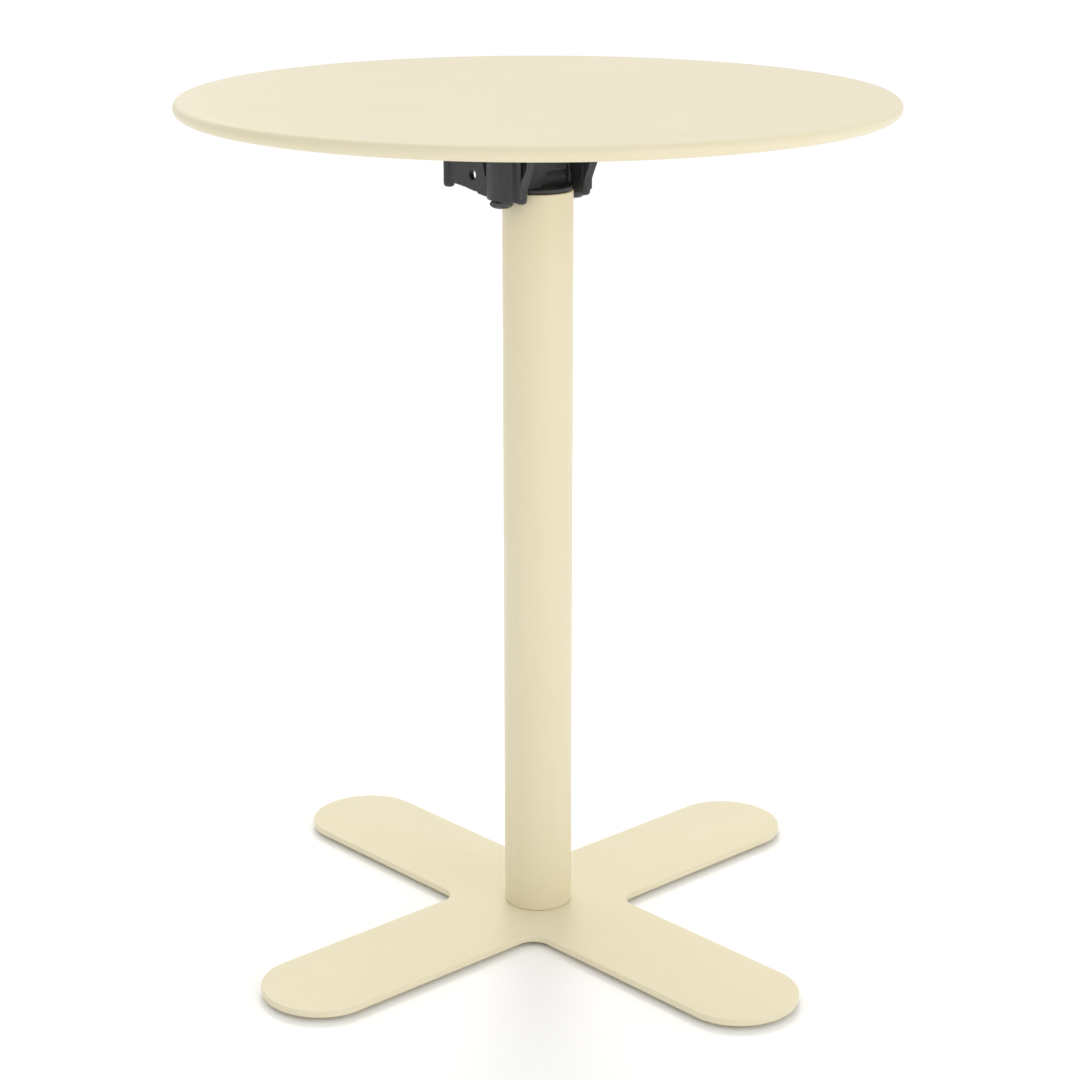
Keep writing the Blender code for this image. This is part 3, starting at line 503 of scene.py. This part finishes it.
def make_tabletop(cream):
    centre = (TOP_RADIUS - RIM_RADIUS, FLOOR_TO_TOP - RIM_RADIUS)
    profile = [(0, FLOOR_TO_TOP), (TOP_RADIUS * 0.5, FLOOR_TO_TOP), (TOP_RADIUS * 0.9, FLOOR_TO_TOP)]
    profile += arc(centre, RIM_RADIUS, 90, -180, 30)
    profile += arc(centre, RIM_RADIUS - SHEET, -180, 90, 24)
    profile += [(TOP_RADIUS * 0.5, FLOOR_TO_TOP - SHEET), (0, FLOOR_TO_TOP - SHEET)]
    show(turned("tabletop_sheet", profile, 240), "tabletop", cream, 40)


def make_rails(cream):
    """Hat rails: a web at the bottom, two walls and two flanges against the sheet."""
    for name in ("top_rail_left", "top_rail_right"):
        low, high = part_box(name)
        y = (low[1] + high[1]) / 2
        web, flange = 12 * MM, (high[1] - low[1]) / 2
        side = [(web, low[2]), (web, high[2] - SHEET), (flange, high[2] - SHEET), (flange, high[2]),
                (web - SHEET, high[2]), (web - SHEET, low[2] + SHEET)]
        outline = [(y + a, z) for a, z in side] + [(y - a, z) for a, z in reversed(side)]
        rail = extruded(name + "_folded", outline, low[0], high[0], plane=ALONG_X)
        show(bevelled(rail, 0.7 * MM, 3, 40), name, cream, 30)


def upright_hole(node, low, high, radius):
    """A cutter on the node's axis that passes through everything from low to high."""
    x, y = middle(node).xy
    return cylinder("hole", (x, y, low - 20 * MM), (x, y, high + 20 * MM), radius)


def make_mounting_plate(cream):
    low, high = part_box("top_mounting_plate")
    outline = rounded_rectangle(low[:2], high[:2], 12 * MM)
    plate = bevelled(extruded("mounting_plate", outline, low[2], high[2]), 0.4 * MM, 2, 40)
    holes = [upright_hole(f"bracket_screw_{i}", low[2], high[2], BRACKET_SCREW_HOLE) for i in range(1, 5)]
    holes += [upright_hole(f"clamp_nut_{i}", low[2], high[2], CLAMP_BOLT_HOLE) for i in (1, 2)]
    plate = boolean(plate, holes, "DIFFERENCE")
    show(plate, "top_mounting_plate", cream, 30)


# ---------------------------------------------------------------- moulded nylon and rubber

def make_moulding(node, name, voxel, passes, material):
    """Remesh a copy of the CAD node's shape, in voxels of this size, and soften it this many times."""
    copy = link_object(node + "_copy", frame["nodes"][node].data.copy())
    show(renamed(moulded(copy, voxel, passes), name), node, material, 60)


def make_mouldings(nylon, rubber):
    make_moulding("tilt_bracket", "bracket_moulding", 0.6 * MM, 3, nylon)
    make_moulding("column_head", "head_moulding", 0.55 * MM, 3, nylon)
    make_moulding("release_lever", "lever_moulding", 0.35 * MM, 4, nylon)
    make_moulding("brake_pad", "brake_pad_block", 0.25 * MM, 2, rubber)


def make_foot_pads(rubber):
    """Turned pads with a stud and two ring grooves underneath."""
    edge, rim = 0.9 * MM, 0.4 * MM
    for i in range(1, 5):
        low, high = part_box(f"foot_pad_{i}")
        radius = (high[0] - low[0]) / 2
        profile = [(0, high[2]), (STUD_RADIUS - 0.3 * MM, high[2]), (STUD_RADIUS, high[2] - 0.3 * MM),
                   (STUD_RADIUS, FOOT_PAD_THICKNESS)]
        profile += arc((radius - rim, FOOT_PAD_THICKNESS - rim), rim, 90, 0, 4)
        profile += arc((radius - edge, edge), edge, 0, -90, 6)
        for ring in (0.72, 0.5):
            reach = radius * ring
            profile += [(reach + 0.7 * MM, 0), (reach + 0.3 * MM, 0.5 * MM), (reach - 0.3 * MM, 0.5 * MM),
                        (reach - 0.7 * MM, 0)]
        profile += [(0, 0)]
        pad = turned(f"foot_disc_{i}", profile, 72, upright_at(middle(f"foot_pad_{i}")))
        show(pad, f"foot_pad_{i}", rubber, 40)


# ---------------------------------------------------------------- fasteners

def hexagon_prism(radius, low, high):
    return extruded("hexagon", arc((0, 0), radius, 0, 300, 5), low, high)


def chamfered_hexagon(radius, low, high, bore=0.0, crown=0.0):
    """A hexagon with its corners turned off at both faces; crown takes more off the lower one."""
    across = radius * math.cos(math.radians(30))
    face = across * 0.97
    drop = (radius - across) * 0.62 * 1.75
    profile = [(0, high), (face, high), (radius + MM, high - drop), (radius + MM, low + drop + crown),
               (face, low + crown * 0.5), (face - crown, low), (0, low)]
    body = boolean(hexagon_prism(radius, low, high), [turned("round", profile, 72)], "INTERSECT")
    if bore:
        mouth = bore * 1.14
        hole = [(0, high + MM), (mouth, high + MM), (mouth, high), (bore, high - 0.8 * MM),
                (bore, low + 0.8 * MM), (mouth, low), (mouth, low - MM), (0, low - MM)]
        body = boolean(body, [turned("bore", hole, 48)], "DIFFERENCE")
    return body


def thread_profile(radius, low, high, pitch):
    """A threaded shank's side, from high down to low, with grooves one pitch apart."""
    points = []
    height = high
    while height - pitch > low:
        points += [(radius, height - 0.1 * pitch), (radius - 0.55 * pitch, height - 0.45 * pitch),
                   (radius - 0.55 * pitch, height - 0.6 * pitch)]
        height -= pitch
    return points + [(radius, height - 0.1 * pitch), (radius - 0.5 * pitch, low)]


def make_clamp_fasteners(black):
    for i in (1, 2):
        place = upright_at(middle(f"clamp_nut_{i}"))
        low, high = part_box(f"clamp_nut_{i}")
        nut = chamfered_hexagon((high[0] - low[0]) / 2, low[2], high[2], CLAMP_BOLT_HOLE, 2 * MM)
        show(placed(renamed(nut, f"hex_nut_{i}"), place), f"clamp_nut_{i}", black, METAL_EDGE)
        low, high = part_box(f"clamp_bolt_{i}")
        head_low = high[2] - CLAMP_BOLT_HEAD
        head = chamfered_hexagon((high[0] - low[0]) / 2, head_low, high[2])
        shank = [(0, head_low + MM), (CLAMP_BOLT_RADIUS, head_low + MM),
                 (CLAMP_BOLT_RADIUS, low[2] + 34 * MM)]
        shank += thread_profile(CLAMP_BOLT_RADIUS, low[2], low[2] + 33 * MM, 1.5 * MM) + [(0, low[2])]
        bolt = boolean(head, [turned("shank", shank, 48)], "UNION")
        show(placed(renamed(bolt, f"hex_bolt_{i}"), place), f"clamp_bolt_{i}", black, METAL_EDGE)


def socketed(name, profile, socket, low, high):
    """A turned screw with a hexagon socket of this radius sunk into it from low to high."""
    return boolean(turned(name, profile, 48), [hexagon_prism(socket, low, high)], "DIFFERENCE")


def make_bracket_screws(zinc):
    """Pan-head screws that come up through the bracket's flange into the mounting plate."""
    for i in range(1, 5):
        low, high = (corner[2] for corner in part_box(f"bracket_screw_{i}"))
        seat, radius = FLANGE_BOTTOM - 0.3 * MM, 6 * MM
        profile = [(0, high), (1.9 * MM, high), (2.8 * MM, high - MM), (2.8 * MM, seat)]
        profile += arc((radius - 0.3 * MM, seat - 0.3 * MM), 0.3 * MM, 90, 0, 2)
        profile += arc((0, seat - 1.1 * MM), radius, 0, -90, 12, seat - 1.1 * MM - low)
        screw = socketed(f"pan_screw_{i}", profile, 2.3 * MM, low - MM, low + 1.8 * MM)
        place = upright_at(middle(f"bracket_screw_{i}"))
        show(placed(screw, place), f"bracket_screw_{i}", zinc, METAL_EDGE)


def make_base_screws(zinc):
    """Countersunk screws that come up through the base into the foot disc."""
    for i in range(1, 5):
        low, high = (corner[2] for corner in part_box(f"base_screw_{i}"))
        profile = [(0, high), (2.6 * MM, high), (3.6 * MM, high - 1.4 * MM)]
        profile += thread_profile(3.6 * MM, low + 4.2 * MM, high - 1.5 * MM, 1.25 * MM)
        profile += [(7.4 * MM, low + 0.4 * MM), (7.2 * MM, low), (0, low)]
        screw = socketed(f"countersunk_screw_{i}", profile, 2.9 * MM, low - MM, low + 2.6 * MM)
        place = upright_at(middle(f"base_screw_{i}"))
        show(placed(screw, place), f"base_screw_{i}", zinc, METAL_EDGE)


def make_head_screws(black):
    """Button-head screws that hold the head in the tube. Heights run outwards from the column's axis."""
    crown, tip = TUBE_RADIUS + 2.8 * MM, TUBE_RADIUS - 11.2 * MM
    seat, brim = TUBE_RADIUS + 0.3 * MM, TUBE_RADIUS + 0.5 * MM
    profile = [(0, tip), (2 * MM, tip), (2.7 * MM, tip + 0.7 * MM), (2.7 * MM, seat), (4.8 * MM, seat)]
    profile += arc((0, brim), 5 * MM, 0, 90, 12, crown - brim)
    for i in (1, 2):
        centre = middle(f"head_screw_{i}")
        side = Vector((centre.x, centre.y, 0)).normalized()
        screw = socketed(f"button_screw_{i}", profile, 1.8 * MM, crown - 1.6 * MM, crown + MM)
        place = Matrix.Translation((0, 0, centre.z)) @ side.to_track_quat("Z", "Y").to_matrix().to_4x4()
        show(placed(screw, place), f"head_screw_{i}", black, METAL_EDGE)


def make_pins(zinc):
    for node, name, radius, edge in (("pivot_axle", "axle_rod", 6 * MM, 0.8 * MM),
                                     ("lever_pin", "lever_rod", 2.5 * MM, 0.5 * MM)):
        low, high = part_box(node)
        half = (high[1] - low[1]) / 2
        profile = [(0, half)] + arc((radius - edge, half - edge), edge, 90, 0, 5)
        profile += arc((radius - edge, edge - half), edge, 0, -90, 5) + [(0, -half)]
        rod = turned(name, profile, 64, Matrix.Translation(middle(node)) @ ALONG_Y)
        show(rod, node, zinc, METAL_EDGE)


def make_washers(acetal):
    for node in ("pivot_washer_left", "pivot_washer_right"):
        low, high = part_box(node)
        half, radius, edge = (high[1] - low[1]) / 2, (high[0] - low[0]) / 2, 0.3 * MM
        ring = arc((radius - edge, half - edge), edge, 90, 0, 3)
        ring += arc((radius - edge, edge - half), edge, 0, -90, 3)
        ring += [(AXLE_HOLE, -half), (AXLE_HOLE, half)]
        disc = turned(node + "_ring", ring, 64, Matrix.Translation(middle(node)) @ ALONG_Y, closed=True)
        show(disc, node, acetal, METAL_EDGE)


def make_spring(zinc):
    (low, high), axis_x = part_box("lever_spring"), middle("lever_spring").x
    wire, turns, per_turn = 0.6 * MM, 4, 40
    radius = (high[1] - low[1]) / 2 - wire
    curve = bpy.data.curves.new("coil", "CURVE")
    curve.dimensions = "3D"
    curve.bevel_depth = wire * 0.98
    curve.bevel_resolution = 4
    curve.use_fill_caps = True
    spline = curve.splines.new("POLY")
    spline.points.add(turns * per_turn)
    bottom, top = low[2] + wire, high[2] - wire
    for i, point in enumerate(spline.points):
        turn = 2 * math.pi * i / per_turn
        height = bottom + (top - bottom) * i / (turns * per_turn)
        point.co = (axis_x + radius * math.cos(turn), radius * math.sin(turn), height, 1)
    show(settle(link_object("coil_spring", curve)), "lever_spring", zinc, 60)


# ---------------------------------------------------------------- camera, light and floor

def make_camera():
    data = bpy.data.cameras.new("camera")
    data.lens = CAMERA_LENS
    data.sensor_width = 36
    camera = link_object("camera", data)
    camera.location = TO_CAMERA * CAMERA_DISTANCE + TO_RIGHT * CAMERA_ASIDE + Vector((0, 0, CAMERA_HEIGHT))
    camera.rotation_euler = (math.pi / 2 - CAMERA_PITCH, 0, VIEW_TURN)
    bpy.context.scene.camera = camera


def direction(azimuth, elevation):
    """Towards a light. Azimuth is counted in degrees from the camera, to the right."""
    across, up = math.radians(azimuth), math.radians(elevation)
    level = TO_RIGHT * math.sin(across) + TO_CAMERA * math.cos(across)
    return level * math.cos(up) + Vector((0, 0, math.sin(up)))


def area_light(name, azimuth, elevation, power):
    """A square soft box that faces the table."""
    data = bpy.data.lights.new(name, "AREA")
    data.shape = "SQUARE"
    data.size = SOFT_BOX_SIZE
    data.energy = power
    light = link_object(name, data)
    light.location = SOFT_BOX_AIM + direction(azimuth, elevation) * SOFT_BOX_DISTANCE
    light.rotation_euler = (SOFT_BOX_AIM - light.location).to_track_quat("-Z", "Y").to_euler()


def far_light(name, azimuth, elevation, strength, spread):
    """A light from far off, spread degrees wide. It whitens the floor evenly and isn't reflected."""
    data = bpy.data.lights.new(name, "SUN")
    data.energy = strength
    data.angle = math.radians(spread)
    light = link_object(name, data)
    light.location = (0, 0, 2)
    light.rotation_euler = (-direction(azimuth, elevation)).to_track_quat("-Z", "Y").to_euler()
    light.visible_glossy = False


def make_light():
    world = bpy.data.worlds.new("studio")
    world.use_nodes = True
    sky = world.node_tree.nodes["Background"]
    sky.inputs["Color"].default_value = (1, 1, 1, 1)
    sky.inputs["Strength"].default_value = WORLD_STRENGTH
    bpy.context.scene.world = world
    area_light("key", 43, 14, 20)
    area_light("back_left", 210, 35, 9)
    far_light("ceiling", 180, 65, 0.35, 60)
    far_light("back", 180, 45, 0.7, 16)


def make_floor():
    material = bpy.data.materials.new("floor_look")
    material.use_nodes = True
    shader = material.node_tree.nodes["Principled BSDF"]
    shader.inputs["Base Color"].default_value = (FLOOR_GREY, FLOOR_GREY, FLOOR_GREY, 1)
    shader.inputs["Roughness"].default_value = 0.9
    shader.inputs["Specular IOR Level"].default_value = 0.1
    shape = bmesh.new()
    bmesh.ops.create_circle(shape, cap_ends=True, segments=64, radius=FLOOR_RADIUS)
    floor = dressed(from_bmesh("floor", shape), material)
    floor.location.z = -FLOOR_GAP


# ---------------------------------------------------------------- build

def build():
    bpy.context.scene.view_settings.view_transform = "Standard"
    looks = {"cream_powder_coat": cream_powder_coat(), "charcoal_nylon": charcoal_nylon(),
             "zinc_steel": zinc_steel(), "black_steel": black_steel(), "black_rubber": black_rubber(),
             "black_acetal": black_acetal()}
    for node, obj in frame["nodes"].items():
        for slot in obj.material_slots:
            slot.material = looks[SLOT_OF_NODE[node]]
    cream = looks["cream_powder_coat"]
    make_base_plate(cream)
    make_column(cream)
    make_tabletop(cream)
    make_rails(cream)
    make_mounting_plate(cream)
    make_mouldings(looks["charcoal_nylon"], looks["black_rubber"])
    make_foot_pads(looks["black_rubber"])
    make_clamp_fasteners(looks["black_steel"])
    make_bracket_screws(looks["zinc_steel"])
    make_base_screws(looks["zinc_steel"])
    make_head_screws(looks["black_steel"])
    make_pins(looks["zinc_steel"])
    make_washers(looks["black_acetal"])
    make_spring(looks["zinc_steel"])
    make_camera()
    make_light()
    make_floor()


build()
